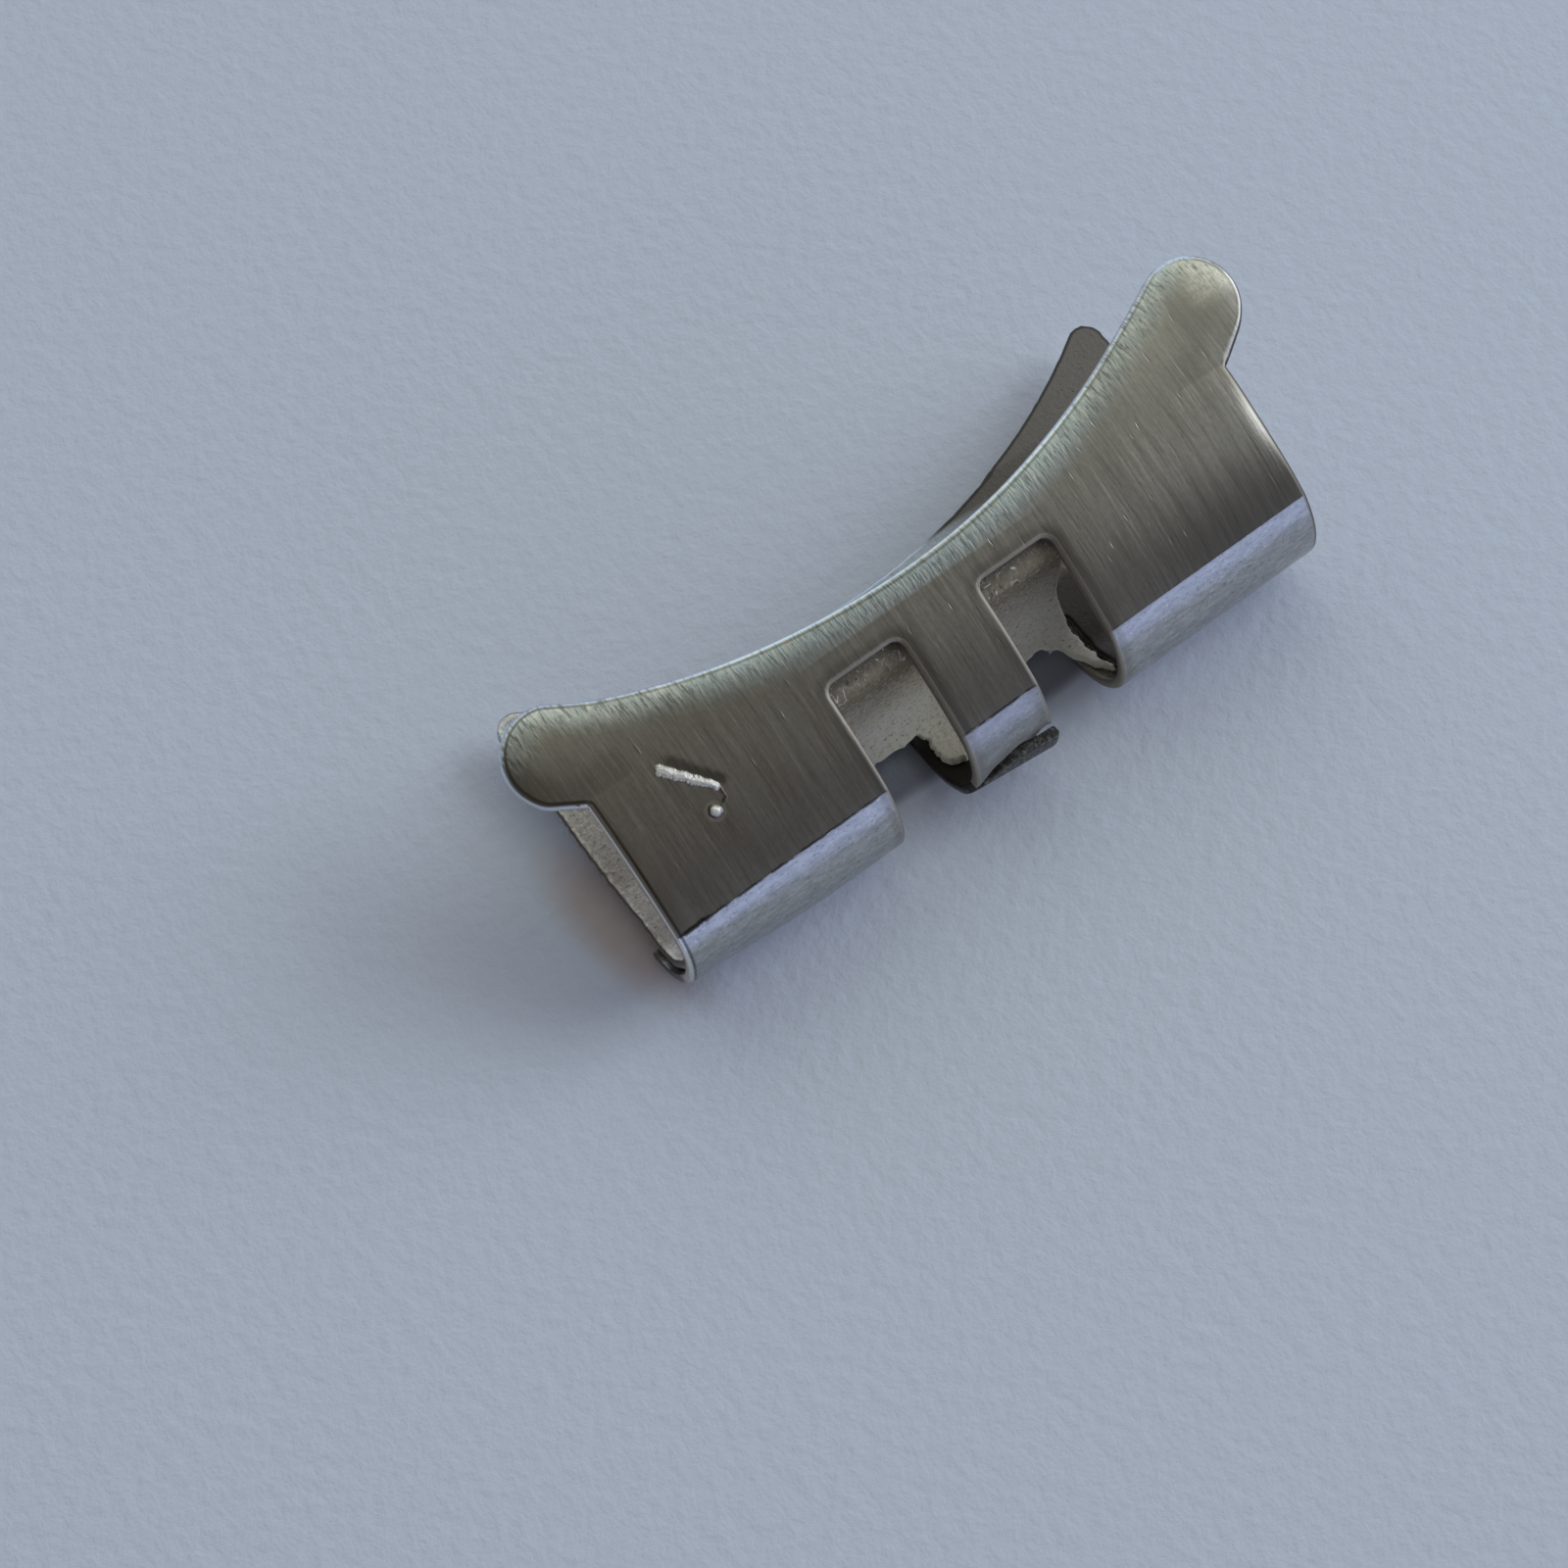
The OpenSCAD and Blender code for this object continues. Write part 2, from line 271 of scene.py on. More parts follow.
def joined(patches):
    """One set of points and triangles from grids that share their borders: equal places become one point."""
    quads, count = [], 0
    for place, _, _ in patches:
        nu, nv = place.shape[:2]
        index = np.arange(nu * nv).reshape(nu, nv) + count
        a, b, c, d = index[:-1, :-1], index[1:, :-1], index[1:, 1:], index[:-1, 1:]
        quads.append(np.stack([a.ravel(), b.ravel(), c.ravel(), d.ravel()], axis=1))
        count += nu * nv
    place, normal, mark = (
        np.vstack([grid.reshape(-1, grid.shape[2]) for grid in grids]) for grids in zip(*patches)
    )
    key = np.round(place / SAME_PLACE).astype(np.int64)
    _, first, same = np.unique(key, axis=0, return_index=True, return_inverse=True)
    quads = same.ravel()[np.vstack(quads)]
    tris = np.vstack([quads[:, [0, 1, 2]], quads[:, [0, 2, 3]]])
    whole = (tris[:, 0] != tris[:, 1]) & (tris[:, 1] != tris[:, 2]) & (tris[:, 2] != tris[:, 0])
    place, normal, mark, tris = place[first], normal[first], mark[first], tris[whole]
    corner = place[tris]
    facing = np.cross(corner[:, 1] - corner[:, 0], corner[:, 2] - corner[:, 0])
    if (facing * normal[tris[:, 0]]).sum() < 0:
        tris = tris[:, ::-1]
    return place, normal, mark, tris


def free_edges(tris):
    """Directed edges that only one triangle has."""
    edges = np.vstack([tris[:, [0, 1]], tris[:, [1, 2]], tris[:, [2, 0]]])
    key = edges.min(axis=1) * (tris.max() + 1) + edges.max(axis=1)
    _, first, times = np.unique(key, return_index=True, return_counts=True)
    return edges[first[times == 1]]


def edge_distance(place, normal, edges):
    """Distance of each point from the nearest free edge, the nearest place there and the way in from it."""
    a, b = place[edges[:, 0]], place[edges[:, 1]]
    run = b - a
    way = np.cross(normal[edges[:, 0]], run)
    way /= np.linalg.norm(way, axis=1)[:, None] + TINY
    at_point = np.zeros_like(place)
    np.add.at(at_point, edges[:, 0], way)
    np.add.at(at_point, edges[:, 1], way)
    at_point /= np.linalg.norm(at_point, axis=1)[:, None] + TINY
    square = (run * run).sum(axis=1)
    distance = np.empty(len(place))
    nearest = np.empty_like(place)
    inward = np.empty_like(place)
    for start in range(0, len(place), POINTS_AT_ONCE):
        p = place[start : start + POINTS_AT_ONCE, None, :]
        t = np.clip(((p - a) * run).sum(axis=2) / square, 0, 1)
        q = a + t[..., None] * run
        gap = np.linalg.norm(p - q, axis=2)
        best = gap.argmin(axis=1)
        rows = np.arange(len(best))
        t = t[rows, best][:, None]
        part = slice(start, start + len(best))
        distance[part] = gap[rows, best]
        nearest[part] = q[rows, best]
        inward[part] = at_point[edges[best, 0]] * (1 - t) + at_point[edges[best, 1]] * t
    return distance, nearest, inward


def sheet(name, patches, thickness, rim, rough=None, wear=None, lift=None):
    """Closed sheet with rounded edges.

    The outer face is the joined grids and the inner face the same moved in by the thickness. At distance d from
    the edge each face drops by r - sqrt(r^2 - (r - d)^2) with its own r, and the place wanders in the sheet by
    roughness * waves * exp(-(d / reach)^2). Wear lowers the outer face by a function of the marks and of the
    distances from the edges past a mark, and the lift moves both faces out by a function of the place.
    """
    place, normal, mark, tris = joined(patches)
    edges = free_edges(tris)
    distance, nearest, inward = edge_distance(place, normal, edges)
    drop, drop_in = (r - np.sqrt(np.maximum(r**2 - np.maximum(r - distance, 0) ** 2, 0)) for r in rim)
    if wear is not None:

        def away(level):
            """Distances from the free edges whose arc length is past the level."""
            past = (mark[edges, 1] > level).all(axis=1)
            return edge_distance(place, normal, edges[past])[0]

        drop = drop + wear(mark, away)
    if rough is not None:
        sway = waves(nearest, SWAY_LONG, 3) + 0.6 * waves(nearest, SWAY_SHORT, 5)
        fade = np.exp(-((distance / SWAY_REACH) ** 2))
        place = place + inward * (rough(mark) * sway * fade)[:, None]
    if lift is not None:
        place = place + normal * lift(place)[:, None]
    outer = place - normal * drop[:, None]
    inner = place - normal * (thickness - drop_in)[:, None]
    count = len(place)
    a, b = edges.T
    rim_faces = [np.column_stack([b, a, a + count]), np.column_stack([b, a + count, b + count])]
    faces = np.vstack([tris, tris[:, ::-1] + count, *rim_faces])
    mesh = bpy.data.meshes.new(name)
    mesh.vertices.add(2 * count)
    mesh.vertices.foreach_set("co", np.vstack([outer, inner]).astype(np.float32).ravel())
    mesh.loops.add(faces.size)
    mesh.loops.foreach_set("vertex_index", faces.astype(np.int32).ravel())
    mesh.polygons.add(len(faces))
    mesh.polygons.foreach_set("loop_start", np.arange(0, faces.size, 3, dtype=np.int32))
    mesh.update(calc_edges=True)
    mesh.validate()
    along = mesh.attributes.new("along", "FLOAT_VECTOR", "POINT")
    inside = np.repeat([0.0, 1.0], count)
    both = np.vstack([mark, mark]) / MM
    along.data.foreach_set("vector", np.column_stack([both, inside]).astype(np.float32).ravel())
    edge = mesh.attributes.new("edge", "FLOAT", "POINT")
    edge.data.foreach_set("value", np.tile(distance / MM, 2).astype(np.float32))
    mesh.shade_smooth()
    mesh.set_sharp_from_angle(angle=SHARP_ANGLE)
    return added(name, mesh)


def added(name, data):
    """A new object in the scene, with its mesh, lamp or camera."""
    obj = bpy.data.objects.new(name, data)
    bpy.context.scene.collection.objects.link(obj)
    return obj


def both_sides(make):
    """The patches of the right half and of its mirror image on the left, from one function of the side."""
    return make(1) + make(-1)


class Section:
    """Places that the three sheets share, worked out from the sizes."""

    def __init__(self, z):
        self.z = z
        self.slope = z.crown_slope
        self.tangent = math.pi / 2 + self.slope
        reach = z.crown_radius - z.roll_radius
        self.crown = (reach * math.sin(self.slope), -reach * math.cos(self.slope))
        self.nested = z.sheet_t + z.nest_gap
        self.nested_r = z.roll_radius - self.nested
        self.ear_x = z.ear_reach - z.ear_radius
        self.case_y = z.case_edge + z.case_radius
        self.ear_y = self.case_y - math.sqrt((z.case_radius + z.ear_radius) ** 2 - self.ear_x**2)
        self.neck = float(self.ear_rear(z.body_half))
        self.slot_outer = z.tab_width / 2 + z.slot_width
        self.crease = z.flap_length + z.roll_radius * (1.5 * math.pi - self.tangent)

    def ear_rear(self, x):
        """Rear side of an ear at x: its circle, and nearer the middle the line that leaves it at the lean."""
        z = self.z
        u = (np.abs(x) - self.ear_x) / z.ear_radius
        lean = math.sin(z.ear_lean)
        line = (u - lean) * math.tan(z.ear_lean) - math.cos(z.ear_lean)
        return self.ear_y + z.ear_radius * np.where(u > lean, -np.sqrt(np.maximum(1 - u * u, 0)), line)

    def crown_angle(self, y, depth=0.0):
        """Angle on the crown's arc above the place y: arc cosine of (y - centre) / radius."""
        return np.arccos((np.asarray(y) - self.crown[0]) / (self.z.crown_radius - depth))

    def top_s(self, y):
        """Arc length to the place y on the cover's top: the crease's, and radius * angle from there."""
        return self.crease + self.z.crown_radius * (self.tangent - self.crown_angle(y))


def rounded_end(x, low, high, corner):
    """How far an end with round corners falls back at x: r - sqrt(r^2 - (r - d)^2), with d from the side."""
    d = np.minimum(np.minimum(x - low, high - x), corner).clip(0)
    return corner - np.sqrt(corner**2 - (corner - d) ** 2)


def jag(x, depth, size, seed):
    """Uneven line across a sheet: the depth in mm times waves of a size in mm along x alone."""
    return depth * MM * waves(np.column_stack([x, x * 0, x * 0]), size * MM, seed)


def arched(x, arc_y, arc_r, end_x, end_y, end_r):
    """Front edge: the watch case's arc, and a round end's circle past the place where the two touch.

    They are arc_y - sqrt(arc_r^2 - x^2) and end_y + sqrt(end_r^2 - (x - end_x)^2).
    """
    far = np.abs(x)
    arc = arc_y - np.sqrt(arc_r**2 - far**2)
    end = end_y + np.sqrt(np.maximum(end_r**2 - (far - end_x) ** 2, 0))
    return np.where(far < end_x * arc_r / (arc_r + end_r), arc, end)


def roll_turn(y, height):
    """Angle about the bar's axis in degrees, 0 straight behind it and 90 straight below."""
    return np.degrees(np.arctan2(-height, -y))


def pinched(place):
    """Move in of the roll's left end: the most times smooth steps up and down the turn and one of x."""
    most, start, reach, turn_reach = -0.2 * MM, 5.2, 3.8, 50
    x, y, height = place.T
    turn = roll_turn(y, height)
    rise = smooth((turn + 45) / turn_reach) * (y < 0.1 * MM)
    return most * rise * smooth((78 - turn) / turn_reach) * smooth((-x / MM - start) / reach)


def torn_end(x, z):
    """Angle at which the tab is torn off: 22 degrees * t^5 more, with t from 0 on the right to 1 left."""
    t = (z.tab_width / 2 - x) / z.tab_width
    return z.tab_end + math.radians(22) * np.clip(t, 0, 1) ** 5


def cover_patches(z):
    """Flaps, knuckles, tab, top and ears of the cover, on one path from the flaps to the front edge."""
    k = Section(z)
    path = Path()
    path.line((z.flap_length, -z.roll_radius), (0, -z.roll_radius), (0, -1))
    path.arc((0, 0), z.roll_radius, 1.5 * math.pi, k.tangent)
    path.arc(k.crown, z.crown_radius, k.tangent, math.radians(60))
    roll_s = z.flap_length

    def front(x):
        """Arc length of the front edge and the ears' round ends at x."""
        return k.top_s(arched(x, k.case_y, z.case_radius, k.ear_x, k.ear_y, z.ear_radius))

    level = k.top_s(z.slot_front - z.slot_corner)
    neck = k.top_s(k.neck)
    ear_start, ear_run, ear_late = 7.6, 1.2, 0.035 * MM

    def bent(x, s):
        """Ears shifted and turned: both grow by a smooth step over 1 mm past the neck."""
        t = smooth((s - neck) / MM)
        out = np.clip((np.abs(x) / MM - ear_start) / ear_run, 0, 1) * t
        return x + z.ear_shift * out, s + z.ear_turn * x * t + ear_late * out

    flap_rows = spread(22, True, False)
    rows = (spread(44), spread(30), spread(12, True, False), spread(40, False, True))
    inner = np.linspace(-1, 1, 31)
    tab_x = np.sin(inner * math.pi / 2) * z.tab_width / 2
    tab_s = roll_s + z.roll_radius * (1.5 * math.pi - torn_end(tab_x, z))
    tab_s = tab_s + jag(tab_x, 0.05, 0.6, 11)

    def half(side):
        """Patches of one half."""
        slot_x = side * columns(z.tab_width / 2, k.slot_outer, 24)
        sides = (k.slot_outer, z.flap_inner, z.flap_outer, z.body_half)
        steps = [side * columns(*step) for step in zip(sides, sides[1:], (6, 46, 18))]
        back = rounded_end(np.abs(slot_x), z.tab_width / 2, k.slot_outer, z.slot_corner)
        flap_end = rounded_end(np.abs(steps[1]), z.flap_inner, z.flap_outer, z.flap_corner)
        out = strips(path, steps[1], (flap_end, roll_s), (flap_rows,))
        out += strips(path, slot_x, (k.top_s(z.slot_front - back), neck, front(slot_x)), rows[2:], bent)
        for x in steps:
            out += strips(path, x, (roll_s, k.crease, level, neck, front(x)), rows, bent)
        ear = side * columns(z.body_half, z.ear_reach, 26, False, True)
        return out + strips(path, ear, (k.top_s(k.ear_rear(ear)), front(ear)), rows[3:], bent)

    middle = strips(path, tab_x, (tab_s, k.crease, level, neck, front(tab_x)), rows, bent)
    return middle + both_sides(half)


def step_down(path, y, low, rise, t, bend, slope, far=None):
    """Underside of a sheet, level from far on and then down to y: an arc, a straight slope and an arc back."""
    straight = (rise - 2 * bend * (1 - math.cos(slope))) / math.sin(slope)
    top_y = y + 2 * bend * math.sin(slope) + straight * math.cos(slope)
    if far is not None:
        path.line((far, low + rise), (top_y, low + rise), (0, -1))
    crest = (top_y, low + rise + t / 2 - bend)
    valley = (y, low + t / 2 + bend)
    quarter = math.pi / 2
    path.arc(crest, bend - t / 2, quarter, quarter + slope, -1)
    if straight > TINY:
        lean = np.array([math.cos(quarter + slope), math.sin(quarter + slope)])
        path.line(np.array(crest) + lean * (bend - t / 2), np.array(valley) - lean * (bend + t / 2), -lean)
    path.arc(valley, bend + t / 2, 3 * quarter + slope, 3 * quarter)
    return top_y


def base_patches(z):
    """Wings, floor, rolled sides and finger of the base plate, from the wings' front edge backwards."""
    k = Section(z)
    t = z.sheet_t
    low = -k.nested_r
    far = 8 * MM
    path = Path()
    step_down(path, z.ramp_start, low, z.wing_rise, t, z.ramp_bend, z.ramp_slope, far)
    floor_s = path.length
    path.line((z.ramp_start, low), (0, low), (0, -1))
    path.arc((0, 0), k.nested_r, 1.5 * math.pi, k.tangent)
    path.arc(k.crown, z.crown_radius - k.nested, k.tangent, k.crown_angle(z.upper_leg, k.nested))
    end_s = path.length

    finger_slope = math.acos(1 - k.nested / (2 * z.finger_bend))
    finger = Path()
    join_y = step_down(finger, z.finger_start, -z.roll_radius, k.nested, t, z.finger_bend, finger_slope)
    finger.line((z.finger_start, -z.roll_radius), (0, -z.roll_radius), (0, -1))
    finger_s = finger.length
    finger.arc((0, 0), z.roll_radius, 1.5 * math.pi, math.pi)

    tip_x = z.base_half - z.wing_tip
    arc_y = z.wing_edge + z.wing_radius
    tip_y = arc_y - math.sqrt((z.wing_radius + z.wing_tip) ** 2 - tip_x**2)

    def front(x):
        """Arc length of the wings' front edge and round tips at x."""
        return far - arched(x, arc_y, z.wing_radius, tip_x, tip_y, z.wing_tip)

    join = floor_s + z.ramp_start - join_y
    corner_s = floor_s + z.ramp_start - (z.window_front - z.window_corner)
    rows = (spread(70, True, False), spread(14, False, True), spread(80, False, True))
    finger_x = columns(-z.finger_left, z.tab_width / 2, 33)
    turn = 1.5 * math.pi - torn_end(finger_x, z) - z.finger_end
    corner = rounded_end(finger_x, -z.finger_left, z.finger_left, FINGER_CORNER) * (finger_x < 0)
    end = finger_s + z.roll_radius * turn + jag(finger_x, 0.05, 0.8, 21) - corner
    middle = strips(path, finger_x, (front(finger_x), join), rows)
    middle += strips(finger, finger_x, (0.0, end), (spread(70, False, True),))

    def half(side):
        """Patches of one half, with the finger's own side as the window's inner one."""
        near = z.tab_width / 2 if side > 0 else z.finger_left
        window_x = side * columns(near, z.window_side, 24)
        side_x = side * columns(z.window_side, z.base_half, 56)
        back = rounded_end(np.abs(window_x), -z.window_side, z.window_side, z.window_corner)
        edge = floor_s + z.ramp_start - (z.window_front - back)
        out = strips(path, window_x, (front(window_x), join, edge), rows)
        return out + strips(path, side_x, (front(side_x), join, corner_s, end_s), rows)

    return middle + both_sides(half)


def cradle_patches(z):
    """Fingers, trough, front wall and flange of the cradle, from the fingers' rear ends forwards."""
    k = Section(z)
    t = z.sheet_t
    r = z.seat_radius + t
    middle_r = z.crown_radius - k.nested - t / 2
    bend_y = r - t / 2 + z.cradle_bend
    span = middle_r - z.cradle_bend
    bend_z = k.crown[1] + math.sqrt(span**2 - (bend_y - k.crown[0]) ** 2)
    bend_end = math.acos((bend_y - k.crown[0]) / span)
    flange_end = math.acos((z.flange_front - k.crown[0]) / middle_r)
    path = Path()
    path.arc((0, 0), r, z.cradle_end, 2 * math.pi)
    path.line((r, 0), (r, bend_z), (1, 0))
    path.arc((bend_y, bend_z), z.cradle_bend - t / 2, math.pi, bend_end, -1)
    path.arc(k.crown, middle_r - t / 2, bend_end, flange_end, -1)

    def s_at(y):
        """Arc length to the place y of the trough: r times the angle from the fingers' ends."""
        return r * (1.5 * math.pi + np.arcsin(np.asarray(y) / r) - z.cradle_end)

    level = float(s_at(z.notch_front - z.notch_corner))
    rows = (spread(40), spread(90))
    half_middle = z.middle_finger / 2
    notch_end = z.cradle_half - z.tongue
    middle_x = np.sin(np.linspace(-1, 1, 27) * math.pi / 2) * half_middle
    finger_s = 0.6 * MM + jag(middle_x, 0.08, 0.5, 31)
    finger_s = finger_s + 0.7 * rounded_end(middle_x, -half_middle, half_middle, 0.6 * MM)

    def half(side):
        """Patches of one half, with a tongue that ends in a slant of 1.6 mm * (1 - t^1.6)^0.7, torn."""
        notch_x = side * columns(half_middle, notch_end, 22)
        tongue_x = side * columns(notch_end, z.cradle_half, 16)
        back = rounded_end(np.abs(notch_x), half_middle, notch_end, z.notch_corner)
        t = np.clip((np.abs(tongue_x) - notch_end) / z.tongue, 0, 1)
        slant = (1.6 * (1 - t**1.6) ** 0.7 + 0.04) * MM + jag(tongue_x, 0.04, 0.4, 33)
        out = strips(path, notch_x, (s_at(z.notch_front - back), path.length), rows[1:])
        return out + strips(path, tongue_x, (slant, level, path.length), rows)

    return strips(path, middle_x, (finger_s, level, path.length), rows) + both_sides(half)


def operator_pair(operation):
    """A Python operator on values that adds a Math node, and its reflected form."""

    def plain(self, other):
        """The operation on the value and the other."""
        return self.math(operation, self, other)

    def reflected(self, other):
        """The operation on the other and the value."""
        return self.math(operation, other, self)

    return plain, reflected


class Value:
    """A shader socket that can stand in a Python sum; each operator adds its Math node."""

    __add__, __radd__ = operator_pair("ADD")
    __sub__, __rsub__ = operator_pair("SUBTRACT")
    __mul__, __rmul__ = operator_pair("MULTIPLY")
    __truediv__, __rtruediv__ = operator_pair("DIVIDE")
    __pow__, __rpow__ = operator_pair("POWER")

    def __init__(self, nodes, socket):
        self.nodes = nodes
        self.socket = socket

    def math(self, operation, *values, clamp=False):
        """A Math node on the values, which a clamp keeps between 0 and 1."""
        settings = {"operation": operation, "use_clamp": clamp}
        return self.nodes.node("ShaderNodeMath", settings, dict(enumerate(values)))

    def __abs__(self):
        return self.math("ABSOLUTE", self)

    def clamped(self):
        """The value kept between 0 and 1."""
        return self.math("ADD", self, 0.0, clamp=True)

    def greater(self, other):
        """The greater of the two."""
        return self.math("MAXIMUM", self, other)

    def lesser(self, other):
        """The lesser of the two."""
        return self.math("MINIMUM", self, other)

    def above(self, low, high):
        """0 below low, 1 above high and a smooth step between."""
        inputs = {"Value": self, "From Min": low, "From Max": high}
        return self.nodes.node("ShaderNodeMapRange", {"interpolation_type": "SMOOTHSTEP"}, inputs)

    def below(self, low, high):
        """1 below low, 0 above high and a smooth step between."""
        return 1 - self.above(low, high)

    def between(self, low, start, end, high):
        """1 from start to end, with smooth steps from 0 at low and to 0 at high."""
        return self.above(low, start) * self.below(end, high)


class Nodes:
    """A node tree under construction."""

    def __init__(self, tree):
        self.tree = tree
        tree.nodes.clear()

    def node(self, kind, settings=None, inputs=None, output=0):
        """Adds a node, its settings first and then the values or links of its sockets, and gives an output."""
        made = self.tree.nodes.new(kind)
        for key, value in (settings or {}).items():
            setattr(made, key, value)
        for key, value in (inputs or {}).items():
            self.feed(made.inputs[key], value)
        return Value(self, made.outputs[output]) if made.outputs else None

    def feed(self, socket, value):
        """Links a value to a socket, or sets it."""
        if isinstance(value, Value):
            self.tree.links.new(value.socket, socket)
        elif hasattr(socket.default_value, "__len__") and len(socket.default_value) == 4:
            socket.default_value = (*value, 1.0)
        else:
            socket.default_value = value

    def attribute(self, name, output):
        """An attribute of the piece: output 1 for a vector and 2 for a number."""
        return self.node("ShaderNodeAttribute", {"attribute_name": name}, output=output)

    def parts(self, vector):
        """The three parts of a vector."""
        return [self.node("ShaderNodeSeparateXYZ", None, {0: vector}, output=i) for i in range(3)]

    def noise(self, vector, scale, detail, roughness=0.5):
        """Soft noise around a half."""
        inputs = {"Vector": vector, "Scale": scale, "Detail": detail, "Roughness": roughness}
        return self.node("ShaderNodeTexNoise", None, inputs)

    def grain(self, marks, density, detail, roughness=0.5):
        """Noise on a sheet, with its own number of spots in a mm across and along."""
        scale = (*density, 1.0)[:3]
        stretched = self.node("ShaderNodeVectorMath", {"operation": "MULTIPLY"}, {0: marks, 1: scale})
        return self.noise(stretched, 1.0, detail, roughness)

    def mix(self, factor, first, second):
        """Colour that goes from the first to the second with the factor."""
        inputs = {0: factor, 6: first, 7: second}
        return self.node("ShaderNodeMix", {"data_type": "RGBA"}, inputs, output=2)

    def bump(self, height, distance):
        """Normal of a surface that stands out by the height times the distance."""
        return self.node("ShaderNodeBump", None, {"Height": height, "Distance": distance, "Strength": 1.0})


class Finish(Nodes):
    """A material under construction, with its surface shader and its main colour."""

    def __init__(self, name, main):
        self.material = bpy.data.materials.new(name)
        self.material.use_nodes = True
        super().__init__(self.material.node_tree)
        self.main = main
        self.surface = self.node("ShaderNodeBsdfPrincipled")
        self.node("ShaderNodeOutputMaterial", None, {"Surface": self.surface})

    def tone(self, amount):
        """The main colour made lighter or darker."""
        return scaled(self.main, amount)

    def layered(self, base, layers):
        """The base colour under layers of a factor and a colour, or how much lighter than the main one."""
        for factor, tint in layers:
            base = self.mix(factor, base, self.tone(tint) if isinstance(tint, float) else tint)
        return base

    def set(self, **sockets):
        """Feeds the surface shader's sockets by name, with _ for a space."""
        for key, value in sockets.items():
            self.feed(self.surface.socket.node.inputs[key.replace("_", " ")], value)


def scaled(tint, amount):
    """A colour made lighter or darker."""
    return tuple(min(1.0, part * amount) for part in tint)


def stroke(x, s, start, end):
    """Distance from the straight stroke between two places on a sheet.

    It is the length of the way from the start less t times the run, where t is their product over the run's
    square, kept between 0 and 1.
    """
    run = (end[0] - start[0], end[1] - start[1])
    square = run[0] ** 2 + run[1] ** 2
    dx, ds = x - start[0], s - start[1]
    t = ((dx * run[0] + ds * run[1]) / square).clamped()
    return ((dx - t * run[0]) ** 2.0 + (ds - t * run[1]) ** 2.0) ** 0.5


